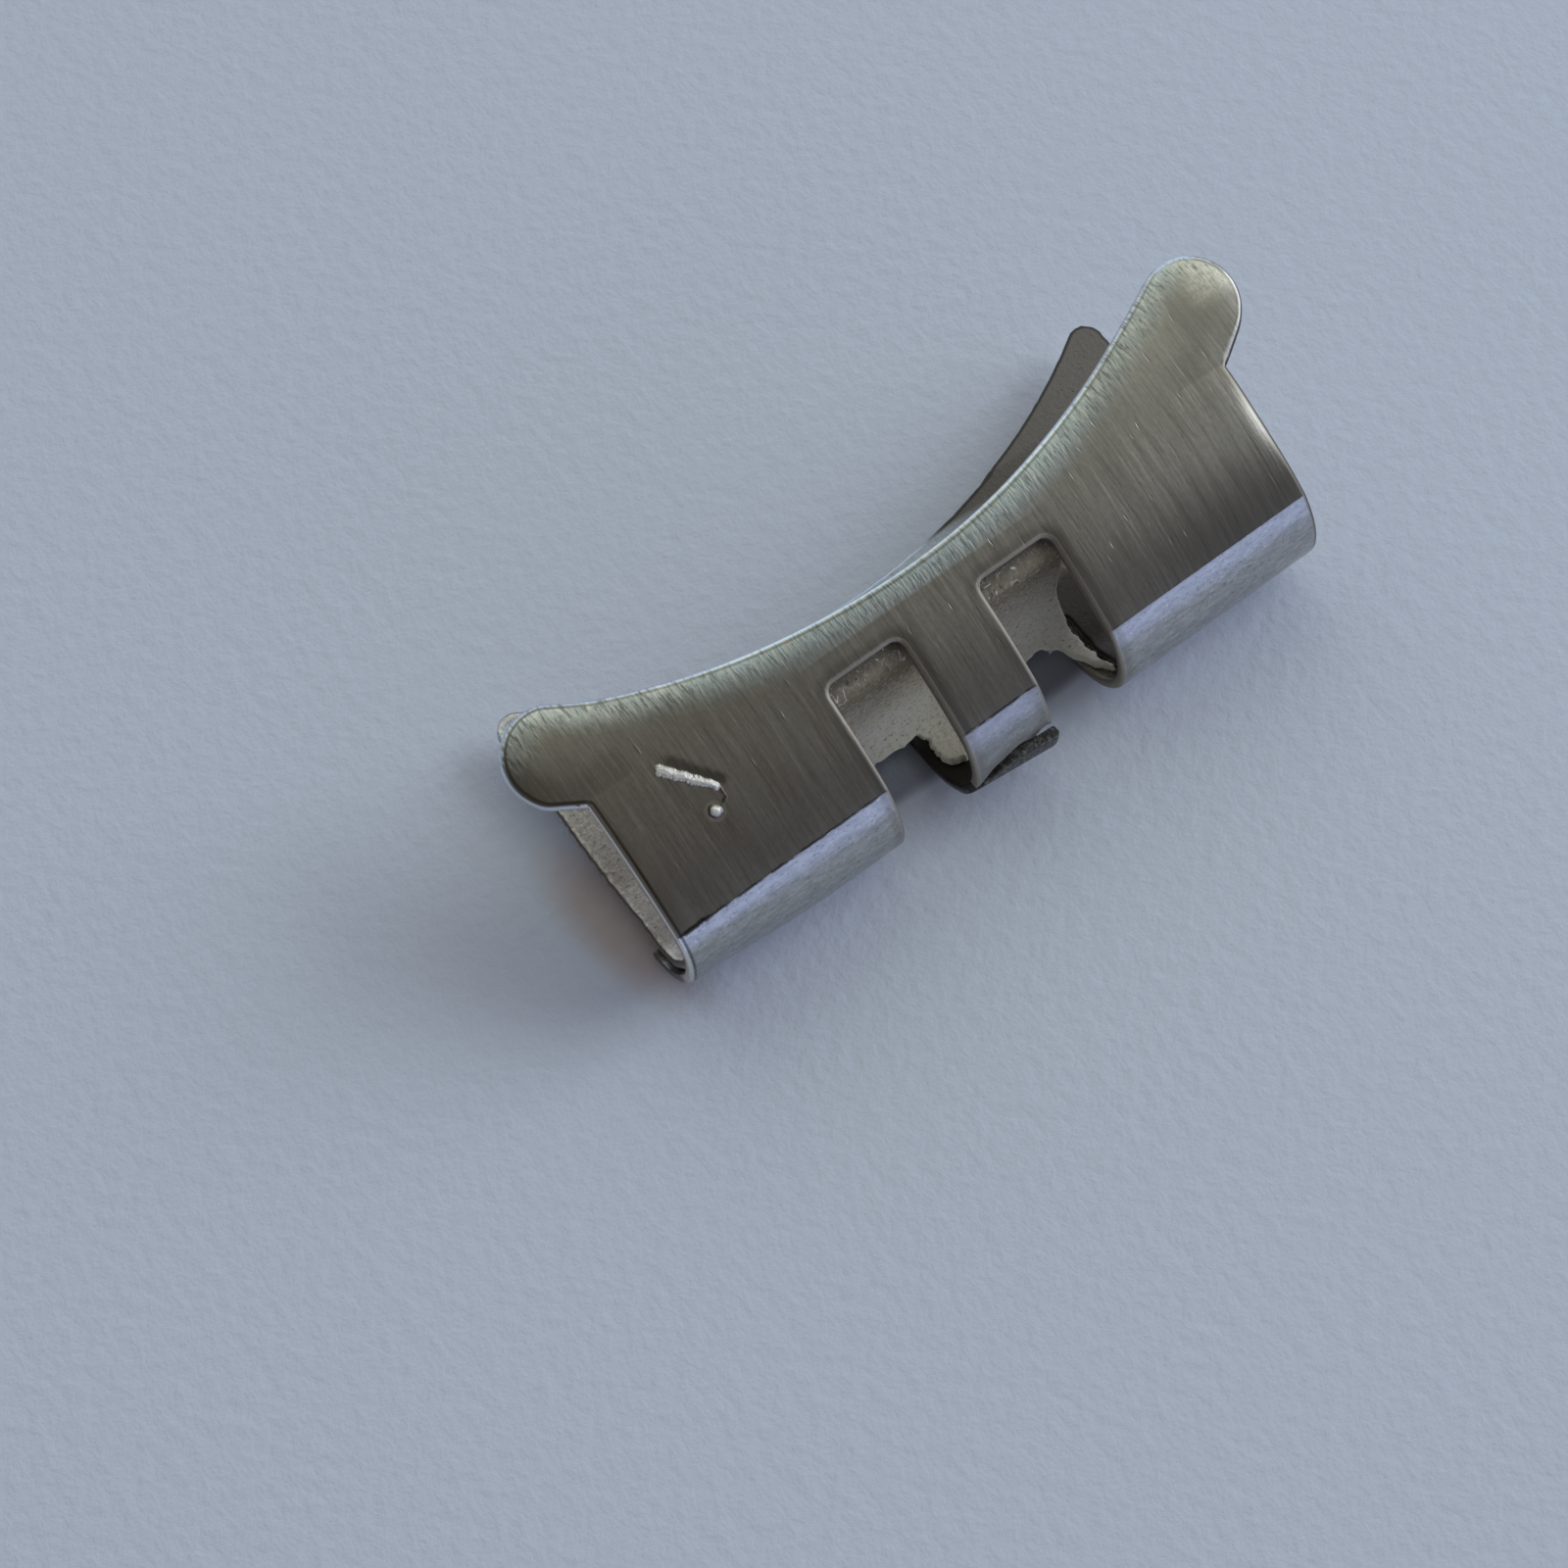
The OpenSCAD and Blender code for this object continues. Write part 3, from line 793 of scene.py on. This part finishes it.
def brushed_steel(finishes, crease):
    """Cover: brushed lines, a plainer roll behind the crease, worn edges with painted sheen, painted highlights
    and shade, and a gouge.

    Places are in mm: x across from the middle, s along the sheet from the flaps' ends, and edge from an edge.
    """
    # Worn sheen colours are wear with a painted pale reflection of the window; glow is a painted highlight on
    # the right ear
    worn_sheen_side, worn_sheen_middle, glow = (0.58, 0.65, 0.65), (0.8, 0.9, 0.92), (1.0, 0.95, 0.82)
    # Rim tints: painted highlights on the front rim and painted shade on the slots' rims
    cool_rim_highlight, warm_rim_highlight, shaded_slot_rim = (0.78, 0.85, 0.92), (0.72, 0.73, 0.68), (0.36, 0.31, 0.24)
    # side_rim_highlight and the flake tint are painted highlights; bare is the gouge's bare metal
    side_rim_highlight, flake_highlight_tint, bare = (0.8, 0.76, 0.7), (0.8, 0.9, 1.0), (0.9, 0.84, 0.74)
    m = Finish("brushed_steel", finishes.brushed)
    along, edge = m.attribute("along", 1), m.attribute("edge", 2)
    x, s, _ = m.parts(along)
    square = x * x
    grime_and_shade, bare_roll = finishes.grime_and_shade, finishes.roll

    fine = m.grain(along, (16.0, 0.7), 3.0, 0.6)
    broad = m.grain(along, (3.0, 0.3), 2.0)
    blotch = m.grain(along, (0.45, 0.6), 3.0)
    mottle = m.grain(along, (9.0, 6.0), 5.0, 0.7)
    smudge = m.grain(along, (2.2, 7.0), 4.0, 0.65)
    speck = m.grain(along, (9.0, 14.0), 2.0, 0.6)
    marks = m.grain(along, (12.0, 2.2), 3.0, 0.7)
    wobble = (m.grain(along, (5.0, 0.4), 3.0) - 0.5) * 0.06
    uneven = (m.noise(along, 7.0, 3.0) - 0.5) * 0.12

    past = s + wobble - crease
    top = past.above(-0.015, 0.025)
    roll = 1 - top
    bright = m.grain(along, (11.0, 0.8), 1.0).above(0.7, 0.78) * top
    dark = m.grain(along, (8.0, 1.6, 3.0), 1.0).above(0.7, 0.78) * top
    centre = square.below(16.0, 42.0)
    front = (s + centre * 0.3).above(9.85, 9.95)
    behind = 1 - front
    # the ears' rear sides, which get painted shade and less of the painted sheen
    ear_rear = x.below(-8.9, -8.5) * s.below(10.7, 11.7) + x.above(8.5, 8.9) * s.below(11.2, 12.2)
    ear_rear = ear_rear.greater(square.above(56.0, 64.0) * s.below(10.4, 10.8))
    wear_and_sheen = front * edge.below(0.25, 1.0) * (1 - 0.9 * ear_rear)
    # painted shade: a darker band on the top above the crease, stronger to the right
    crease_shade = s.below(crease + 0.2, crease + 2.6) * (0.4 + 0.5 * x.above(3.0, 7.0))
    # painted highlight: a warm bright patch on the right ear's top
    ear_highlight = x.above(9.1, 9.8) * s.above(11.0, 11.6) * (0.35 + 0.4 * mottle.below(0.4, 0.6))
    # painted shade on the top beside the slots' right edges
    shade_beside_slots = (x.between(-1.15, -1.1, -0.95, -0.6) + x.between(3.1, 3.17, 3.3, 3.7)) * s.below(8.8, 9.4)
    steel = m.mix(fine.above(0.3, 0.7), m.tone(0.93), m.tone(1.05))
    steel = m.layered(steel, [
        (mottle.above(0.4, 0.66) * 0.45, 0.72),
        (blotch.above(0.4, 0.7) * 0.3, 0.8),
        (crease_shade, 0.45),
        (x.above(8.0, 8.8) * front * 0.4, 0.6),
        # wear along the front edges, with a painted pale reflection of the window
        (wear_and_sheen * (0.7 + 0.2 * centre), m.mix(centre, worn_sheen_side, worn_sheen_middle)),
        # painted shade on the ears' rear sides
        (ear_rear * front * 0.35, 0.55),
        # painted highlight on the right ear
        (ear_highlight, glow),
        (shade_beside_slots * 0.45, 0.4),
        (bright * 0.15, 1.6),
        (dark * 0.35, 0.5),
        (marks.above(0.5, 0.62) * wear_and_sheen * (0.75 - 0.25 * centre), 0.35),
        (marks.below(0.38, 0.46) * wear_and_sheen * 0.7, 1.6),
    ])
    plain = m.mix(smudge.above(0.3, 0.7), scaled(bare_roll, 0.8), scaled(bare_roll, 1.15))
    plain = m.layered(plain, [
        (speck.above(0.6, 0.68) * 0.45, grime_and_shade),
        (speck.below(0.33, 0.38) * 0.5, scaled(bare_roll, 1.6)),
        (square.below(1.3, 1.6) * 0.35, scaled(bare_roll, 0.45)),
    ])

    line = abs(past).below(0.015, 0.05) * smudge.above(0.38, 0.5) * (0.85 - 0.7 * x.above(1.0, 5.0))
    blot = abs(past + wobble * 2.0).below(0.03, 0.09) * x.between(-8.9, -8.8, -8.3, -8.0)
    inset = edge.between(0.08, 0.11, 0.14, 0.18)
    right_side = x.above(8.6, 8.8)
    lit = front * (1 - right_side * (1 - x.below(9.6, 9.8) * s.above(11.0, 11.3)))
    # painted shade around the slots
    slot_halo_shade = edge.between(0.09, 0.13, 0.18, 0.42) * behind * square.below(12.0, 14.0)
    # the slots' rims, painted darker as shade and made rougher
    cuts = edge.below(0.05, 0.13) * behind * x.above(-8.5, -8.3)
    left_side = x.below(-8.65, -8.55)
    left_edge = left_side * behind * s.above(3.6, 4.2)
    # painted highlight on the right ear's top rim, drawn as a pale flake
    flake_highlight = edge.below(0.08, 0.2) * x.between(9.0, 9.3, 9.9, 10.2) * s.above(11.5, 11.8)
    steel = m.layered(m.mix(top, plain, steel), [
        (line, grime_and_shade),
        # painted shade: a dark line just inside the front edge, stronger on the left
        (inset * front * (0.55 + 0.3 * x.below(-9.0, -7.0)), 0.3),
        # painted highlight along the lit front rim
        (edge.below(0.02, 0.08) * lit * 0.65, m.mix(x.above(-3.0, 1.0), cool_rim_highlight, warm_rim_highlight)),
        (slot_halo_shade * 0.45, 0.4),
        # painted shade on the slots' rims
        (cuts * 0.85, shaded_slot_rim),
        (left_side * s.below(3.6, 4.2) * edge.below(0.2, 0.5) * 0.7, grime_and_shade),
        # the left cut edge: painted shadow just inside it and a painted highlight line on it
        (left_edge * inset * 0.7, grime_and_shade),
        (left_edge * edge.below(0.06, 0.09) * 0.8, side_rim_highlight),
        # painted shade: a dark outline along the right side where the front is not lit
        (edge.below(0.03, 0.08) * right_side * (1 - lit) * 0.85, grime_and_shade),
        (blot * 0.9, grime_and_shade),
        (flake_highlight * mottle.above(0.4, 0.48), flake_highlight_tint),
    ])

    gouge = stroke(x, s, (-7.3, 9.55), (-6.46, 8.6)) + uneven * 1.3 - (s - 8.8) * 0.04
    hook = stroke(x, s, (-6.42, 8.56), (-6.4, 8.3)).lesser(stroke(x, s, (-6.4, 8.3), (-6.58, 8.2)))
    hook = hook + uneven * 0.4
    dimple = stroke(x, s, (-6.8, 8.17), (-6.76, 8.13)) + uneven * 0.5
    shade = stroke(x, s, (-7.0, 9.6), (-6.26, 8.66)) + uneven
    cut = gouge.below(0.05, 0.1).greater(dimple.below(0.05, 0.12))
    steel = m.layered(steel, [
        # painted shadow beside the gouge, and painted shade and highlight rings round the dimple
        (shade.below(0.04, 0.2) * 0.6 * (1 - cut), grime_and_shade),
        (hook.below(0.01, 0.05) * 0.7, grime_and_shade),
        (dimple.between(0.09, 0.12, 0.13, 0.16) * 0.7, grime_and_shade),
        (dimple.between(0.15, 0.18, 0.2, 0.26) * 0.4, 1.7),
        (cut, bare),
    ])
    rough = (0.3 + (fine - 0.5) * 0.12 + (broad - 0.5) * 0.08) * top + (0.26 + (smudge - 0.5) * 0.2) * roll
    m.set(Base_Color=steel, Metallic=1.0 - 0.5 * cut - 0.6 * flake_highlight, Roughness=rough + cut * 0.2 + cuts * 0.25)
    lines = (fine + mottle - 1.0) * 0.1 + (broad - 0.5) * 0.22 - dark * 0.1 - bright * 0.03
    pressed = (smudge * 0.06 + (speck - 0.5) * 0.08) * roll
    dent = gouge.below(0.0, 0.12) + hook.below(0.0, 0.07) * 0.1 + dimple.below(0.02, 0.16) * 1.2
    height = (lines + (0.5 - marks) * wear_and_sheen * 0.5) * top + pressed - dent * 2.2
    m.set(Normal=m.bump(height, 0.02 * MM))
    return m.material


def mill_steel(finishes):
    """Base plate: dull rolled sheet with stains and scuffs, painted shade deep inside and on the wings, a
    painted light strip, bright sheared edges.

    Places are in mm: x across from the middle, s along the sheet; inside is 1 on the face near the cradle.
    """
    dull, sky_reflection = (0.77, 0.69, 0.63), (0.72, 0.8, 0.88)
    m = Finish("mill_steel", finishes.mill)
    along, edge = m.attribute("along", 1), m.attribute("edge", 2)
    x, s, inside = m.parts(along)
    square = x * x
    grain = m.grain(along, (9.0, 7.0), 5.0, 0.65)
    stain = m.grain(along, (1.3, 1.3), 3.0)
    scuff = m.grain(along, (9.0, 11.0), 5.0, 0.75)
    speck = m.grain(along, (11.0, 11.0), 2.0).above(0.68, 0.74)
    right = x.above(-8.0, -6.5)
    # painted shade on the wings' inner face under the cover
    wing_shade = inside * s.below(4.6, 6.0) * right
    # painted shade deep inside, in the middle and on the finger
    deep_shade = square.below(20.0, 60.0) * s.above(5.6, 6.6)
    deep_shade = inside * deep_shade.greater(square.below(2.4, 3.6) * s.below(3.75, 3.9))
    # painted light: a pale sky reflection in a strip behind the ramp and at the open left end
    lit_strip = x.below(1.5, 4.5) * right * s.between(3.75, 3.9, 4.6, 5.0)
    lit_strip = inside * lit_strip.greater(x.below(-9.0, -8.1) * s.below(2.4, 3.2))
    # the base plate behind the bar's axis, the finger's end, painted near black: grime and painted shade
    end = (m.parts(m.node("ShaderNodeTexCoord", output=3))[1] / MM).below(-1.5, -1.1)
    plain = (1 - wing_shade) * (1 - deep_shade)
    outline = (edge.below(0.02, 0.06) + wing_shade * edge.below(0.06, 0.1)).clamped()
    chipped = edge.between(0.03, 0.06, 0.08, 0.16) * grain.above(0.4, 0.56)
    steel = m.mix(grain.above(0.3, 0.75), m.tone(0.8), m.tone(1.15))
    steel = m.layered(steel, [
        (stain.above(0.5, 0.75) * 0.5, 0.45),
        (speck * 0.8, finishes.grime_and_shade),
        (inside * 0.6 * (1 - deep_shade), dull),
        (wing_shade * 0.85, 0.25),
        (lit_strip * 0.9, sky_reflection),
        (deep_shade * 0.9, finishes.grime_and_shade),
        (scuff.above(0.52, 0.62) * 0.6 * plain, 0.4),
        (scuff.below(0.38, 0.46) * 0.6 * plain, 1.7),
        (end * (0.65 + 0.3 * scuff.above(0.4, 0.55)), scaled(finishes.roll, 0.1)),
        (outline * inside * (1 - lit_strip) * 0.8, finishes.grime_and_shade),
        (chipped * 0.9 * plain * (1 - end), 2.0),
    ])
    m.set(Base_Color=steel, Metallic=0.75, Roughness=0.5 + (grain - 0.5) * 0.25)
    m.set(Normal=m.bump(grain - speck - scuff * 0.8, 0.016 * MM))
    return m.material


def stained_steel(finishes):
    """Cradle: stained brown near the top with painted shade, painted pale in the trough to stand in for light,
    with pits, nicks and bright flecks.

    Places are in mm: s along the sheet from the fingers' ends, and edge from an edge.
    """
    lit_trough, wall_stain_and_shade, flange_stain_and_shade = (1.0, 0.91, 0.7), (0.31, 0.245, 0.14), (0.15, 0.125, 0.09)
    rubbed, scratched = (1.0, 0.97, 0.88), (0.95, 0.93, 0.88)
    m = Finish("stained_steel", finishes.stained)
    along, edge = m.attribute("along", 1), m.attribute("edge", 2)
    s = m.parts(along)[1]
    grain = m.grain(along, (8.0, 6.0), 5.0, 0.65)
    stain = m.grain(along, (1.5, 1.1), 4.0, 0.6)
    scuff = m.grain(along, (8.0, 10.0), 5.0, 0.8)
    pit = m.grain(along, (9.0, 9.0), 4.0, 0.7).above(0.6, 0.66)
    fleck = m.grain(along, (7.0, 5.0), 0.0).below(0.16, 0.2)
    nick = abs(m.grain(along, (2.6, 3.4), 1.0) - 0.5).below(0.006, 0.016)
    nick = nick * m.grain(along, (4.0, 5.0), 1.0).above(0.52, 0.6) * s.above(3.4, 4.4)
    steel = m.mix(grain.above(0.35, 0.7), m.tone(0.8), m.tone(1.2))
    steel = m.layered(steel, [
        (stain.above(0.5, 0.75) * 0.4, 0.4),
        # painted light: paler in the trough
        (s.below(2.6, 4.6), lit_trough),
        # brown stain with painted shade on the wall and the flange under the cover
        (s.above(4.2, 5.1) * 0.85, wall_stain_and_shade),
        (s.above(5.45, 5.65) * 0.85, flange_stain_and_shade),
        (scuff.above(0.53, 0.6) * (0.32 + 0.43 * s.above(3.0, 4.5)), 0.25),
        (scuff.below(0.4, 0.46) * (0.6 - 0.45 * s.above(4.6, 5.4)), rubbed),
        (pit * 0.8, finishes.grime_and_shade),
        (edge.below(0.01, 0.1) * 0.6, 1.4),
        (fleck + nick * 0.7, scratched),
    ])
    rough = 0.44 + (grain - 0.5) * 0.3 + 0.15 * s.above(4.2, 5.0)
    m.set(Base_Color=steel, Metallic=0.45 - 0.43 * s.below(2.6, 4.2), Roughness=rough)
    m.set(Normal=m.bump(grain - pit * 0.6 + fleck - scuff * 0.8, 0.022 * MM))
    return m.material


def paper(finishes):
    """Floor: matt paper with a faint tooth, painted warm bounce light by the open left end and painted shade
    under the slots.
    """
    m = Finish("paper", finishes.paper)
    place = m.node("ShaderNodeTexCoord", output=3)
    tooth = m.noise(place, 2400.0, 4.0, 0.6)
    x, y = (part / MM for part in m.parts(place)[:2])
    # painted warm bounce light beside the open left end
    painted_bounce = ((((x + 9.1 + (y - 1.0) * 0.1) / 1.3) ** 2.0 + ((y - 1.0) / 2.9) ** 2.0) ** 0.5).below(0.35, 1.1)
    # painted shade under the slots
    shaded = (((x - 0.4) / 5.0) ** 4.0 + ((y - 0.8) / 1.4) ** 4.0).below(0.3, 1.0)
    white = m.mix(tooth, m.tone(0.96), finishes.paper)
    white = m.layered(white, [(shaded * 0.7, 0.15), (painted_bounce * 0.55, finishes.bounce)])
    m.set(Base_Color=white, Roughness=0.95, Specular_IOR_Level=0.15, Normal=m.bump(tooth, 0.04 * MM))
    return m.material


def finish_piece(obj, node, material):
    """Gives a piece its material, hangs it under the root body and hides the node that it stands for."""
    obj.data.materials.append(material)
    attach(obj, "root")
    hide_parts(node)


def cover_wear(z):
    """Function that says how far wear lowers the cover's outer face.

    At distance d from an edge it is drop * (1 - d / width)^power, with a power of 2.5 along the front, 2 for a
    narrow lip there and 2.2 along the sides. At u behind the crease comes a dip k * u * (1 - u / width)^2, and
    at r from a weld mark's centre its depth * (1 - r^2 / radius^2).
    """
    k = Section(z)
    neck = k.top_s(k.neck)
    front_drop, front_width = 0.11 * MM, 0.85 * MM
    lip_drop, lip_width = 0.04 * MM, 0.13 * MM
    side_drop, side_width, side_right = 0.04 * MM, 0.4 * MM, 7 * MM
    dip, dip_width = 0.2, 2.2 * MM
    fade, neck_fade = 1.2 * MM, 1.3 * MM
    tip_start, tip_run = 9.2, 0.6

    def wear(mark, away):
        """Drop at the marks, with away(level) for the distances from the edges past a level."""
        x, s = mark.T
        far = away(neck + 0.02 * MM)
        tip = np.clip((x / MM - tip_start) / tip_run, 0, 1)
        past = np.clip((s - neck) / neck_fade, 0.1, 1)
        front = front_drop * past * (1 - 0.6 * tip) * np.maximum(1 - far / front_width, 0) ** 2.5
        front = front + lip_drop * past * np.maximum(1 - far / lip_width, 0) ** 2
        rear = np.clip((s - k.crease - 0.6 * MM) / fade, 0, 1) * np.clip((neck - s) / fade, 0, 1)
        rear = rear * np.where(x > side_right, 1, 0.3)
        side = side_drop * rear * np.maximum(1 - away(k.crease - fade) / side_width, 0) ** 2.2
        u = np.clip(k.crease - s, 0, dip_width)
        across = np.abs(np.abs(x) - (z.flap_inner + z.flap_outer) / 2) - z.weld_spacing / 2
        square = (across**2 + (s - z.flap_length + z.weld_place) ** 2) / z.weld_radius**2
        weld = z.weld_depth * np.maximum(1 - square, 0)
        return front + side + dip * u * (1 - u / dip_width) ** 2 + weld

    return wear


def wing_cut(mark):
    """Roughness of the base plate's edge: little along the wings' front and more elsewhere."""
    front = (mark[:, 1] < 6 * MM) & (np.abs(mark[:, 0]) < 8.6 * MM)
    return np.where(front, 0.006 * MM, 0.02 * MM)


def torn_cradle(mark):
    """Roughness of the cradle's edge: torn ends behind the bar's axis and clean cuts in front of it."""
    return np.where(mark[:, 1] < 2.2 * MM, 0.045 * MM, 0.008 * MM)


def bent_finger(z):
    """Function that lifts the base plate: its finger by (a + b x) * a smooth step of the turn, or pinched."""
    bend, bend_right, start, reach = 0.11 * MM, 0.09, 72, 45

    def lift(place):
        """Lift at the places."""
        x, y, height = place.T
        finger = (np.hypot(y, height) > z.roll_radius - 0.01 * MM) & (y < 0) & (np.abs(x) < 1.5 * MM)
        out = np.maximum(bend + bend_right * x, 0) * smooth((start - roll_turn(y, height)) / reach)
        return np.where(finger, out, pinched(place))

    return lift


class AddCover(bpy.types.Operator):
    """Add the brushed cover with its ears, roll, tab and flaps"""

    bl_idname = "end_link.add_cover"
    bl_label = "Add Cover"

    def execute(self, context):
        z = context.scene.end_link_sizes
        obj = sheet("cover_sheet", cover_patches(z), z.sheet_t, COVER_RIM, None, cover_wear(z), pinched)
        finish = brushed_steel(context.scene.end_link_finishes, Section(z).crease / MM)
        finish_piece(obj, "cover", finish)
        return {"FINISHED"}


class AddBasePlate(bpy.types.Operator):
    """Add the plain base plate with its wings and finger"""

    bl_idname = "end_link.add_base_plate"
    bl_label = "Add Base Plate"

    def execute(self, context):
        z = context.scene.end_link_sizes
        obj = sheet("base_sheet", base_patches(z), z.sheet_t, PLATE_RIM, wing_cut, lift=bent_finger(z))
        finish_piece(obj, "base_plate", mill_steel(context.scene.end_link_finishes))
        return {"FINISHED"}


class AddCradle(bpy.types.Operator):
    """Add the trough that holds the spring bar"""

    bl_idname = "end_link.add_cradle"
    bl_label = "Add Cradle"

    def execute(self, context):
        z = context.scene.end_link_sizes
        obj = sheet("cradle_sheet", cradle_patches(z), z.sheet_t, PLATE_RIM, torn_cradle)
        finish_piece(obj, "cradle", stained_steel(context.scene.end_link_finishes))
        return {"FINISHED"}


def aimed(place, target):
    """World matrix of a lamp or camera at a place, looking at a target."""
    turn = (target - place).to_track_quat("-Z", "Y")
    return Matrix.Translation(place) @ turn.to_matrix().to_4x4()


def softbox(name, place, target, size, power, tint):
    """Square soft lamp."""
    lamp = bpy.data.lights.new(name, "AREA")
    lamp.shape = "RECTANGLE"
    lamp.size, lamp.size_y = size
    lamp.energy = power
    lamp.color = tint
    added(name, lamp).matrix_world = aimed(place, target)


class AddStage(bpy.types.Operator):
    """Add the floor, the light and the camera"""

    bl_idname = "end_link.add_stage"
    bl_label = "Add Stage"

    def execute(self, context):
        scene = context.scene
        mesh = bpy.data.meshes.new("floor")
        reach = FLOOR_REACH
        level = -scene.end_link_sizes.roll_radius - FLOOR_GAP
        corners = [(x * reach, y * reach, level) for x, y in ((-1, -1), (1, -1), (1, 1), (-1, 1))]
        mesh.from_pydata(corners, [], [(0, 1, 2, 3)])
        mesh.materials.append(paper(scene.end_link_finishes))
        floor = added("floor", mesh)
        self.light(scene)
        self.camera(scene)
        return {"FINISHED"}

    def light(self, scene):
        """Wide window in front, a smaller one beyond the right ear, and a room that is dark overhead."""
        middle = Vector((0, 0.001, 0.001))
        softbox("window", Vector((-0.02, 0.30, 0.27)), middle, (0.60, 0.22), 0.13, (0.9, 1.0, 1.02))
        softbox("side_window", Vector((0.33, -0.085, 0.21)), middle, (0.26, 0.24), 0.48, (0.82, 0.92, 1.05))
        world = bpy.data.worlds.new("room")
        scene.world = world
        world.use_nodes = True
        room = Nodes(world.node_tree)
        x, y, z = room.parts(room.node("ShaderNodeTexCoord"))
        glow = (x * 0.75 + y * 0.65).above(0.02, 0.6)
        overhead = room.mix(glow, (0.07, 0.064, 0.056), (0.62, 0.665, 0.605))
        walls = room.mix(x.above(-0.7, 0.2), (0.24, 0.28, 0.38), (0.62, 0.73, 1.1))
        tint = room.mix(z.above(0.3, 0.5), walls, overhead)
        light = room.node("ShaderNodeBackground", None, {"Color": tint, "Strength": 1.0})
        room.node("ShaderNodeOutputWorld", None, {"Surface": light})

    def camera(self, scene):
        """Camera on a ray from its target, by azimuth and elevation, then rolled about that ray."""
        azimuth, elevation, roll = math.radians(-40.406), math.radians(67.003), math.radians(3.0)
        target = Vector((-4.574, 1.027, 0.0)) * MM
        distance = 79.51 * MM
        flat = math.cos(elevation)
        back = Vector((math.sin(azimuth) * flat, -math.cos(azimuth) * flat, math.sin(elevation)))
        data = bpy.data.cameras.new("camera")
        data.lens = 81.0
        data.clip_start = 0.001
        obj = added("camera", data)
        obj.matrix_world = aimed(target + back * distance, target) @ Matrix.Rotation(roll, 4, "Z")
        scene.camera = obj
        scene.view_settings.view_transform = "Standard"


class EndLinkPanel(bpy.types.Panel):
    """Lists the pieces of the end link"""

    bl_idname = "VIEW3D_PT_end_link"
    bl_label = "End Link"
    bl_space_type = "VIEW_3D"
    bl_region_type = "UI"
    bl_category = "End Link"

    def draw(self, context):
        for operator in OPERATORS:
            self.layout.operator(operator.bl_idname)
        for group in (context.scene.end_link_sizes, context.scene.end_link_finishes):
            box = self.layout.box()
            for name in group.__annotations__:
                box.prop(group, name)


OPERATORS = (AddCover, AddBasePlate, AddCradle, AddStage)
CLASSES = (EndLinkSizes, EndLinkFinishes, *OPERATORS, EndLinkPanel)


def register():
    for cls in CLASSES:
        bpy.utils.register_class(cls)
    bpy.types.Scene.end_link_sizes = bpy.props.PointerProperty(type=EndLinkSizes)
    bpy.types.Scene.end_link_finishes = bpy.props.PointerProperty(type=EndLinkFinishes)


def unregister():
    del bpy.types.Scene.end_link_finishes
    del bpy.types.Scene.end_link_sizes
    for cls in reversed(CLASSES):
        bpy.utils.unregister_class(cls)


def main():
    register()
    bpy.ops.end_link.add_cover()
    bpy.ops.end_link.add_base_plate()
    bpy.ops.end_link.add_cradle()
    bpy.ops.end_link.add_stage()
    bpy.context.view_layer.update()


if __name__ == "__main__":
    main()
